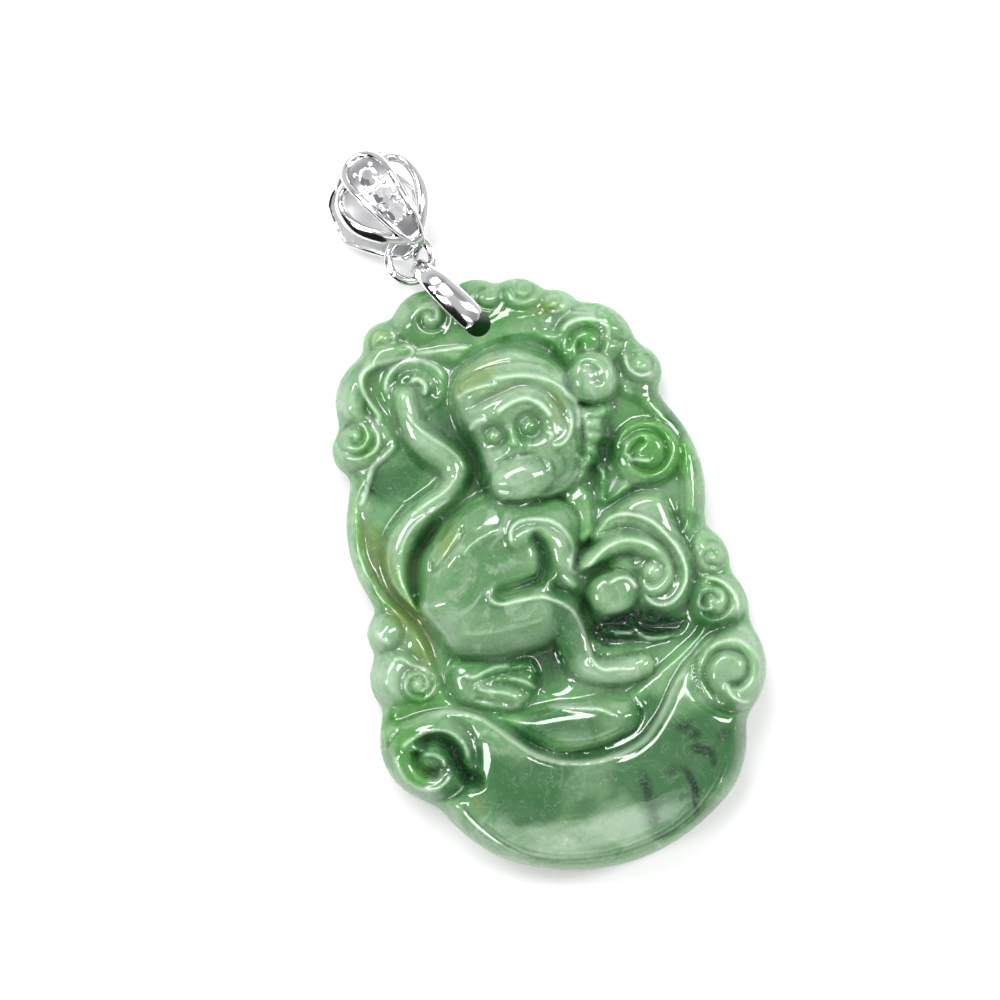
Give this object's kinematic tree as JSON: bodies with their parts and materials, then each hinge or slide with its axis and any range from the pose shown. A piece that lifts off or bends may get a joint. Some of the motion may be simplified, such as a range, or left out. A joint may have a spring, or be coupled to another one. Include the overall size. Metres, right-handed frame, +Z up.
{
  "type": "monkey pendant",
  "caption": "Carved green jade pendant with a crouching monkey among cloud scrolls, hung by a polished metal loop, jump ring and fluted bail set with small stones.",
  "frame": {"origin": "middle of the pendant's footprint on the surface that it lies on", "axes": "+Y along the carved stone towards the bail, +Z up through the carved face, +X to the right seen from above"},
  "size_m": [0.0284, 0.0542, 0.0074],
  "materials": {
    "jade": "polished, translucent, mottled green",
    "polished_metal": "mirror polished white metal",
    "clear_stone": "faceted and clear"
  },
  "bodies": {
    "root": {"jade_carving": "jade", "leaf_loop": "polished_metal", "jump_ring": "polished_metal", "bail": "polished_metal", "stone_1": "clear_stone", "stone_2": "clear_stone", "stone_3": "clear_stone"}
  },
  "joints": []
}
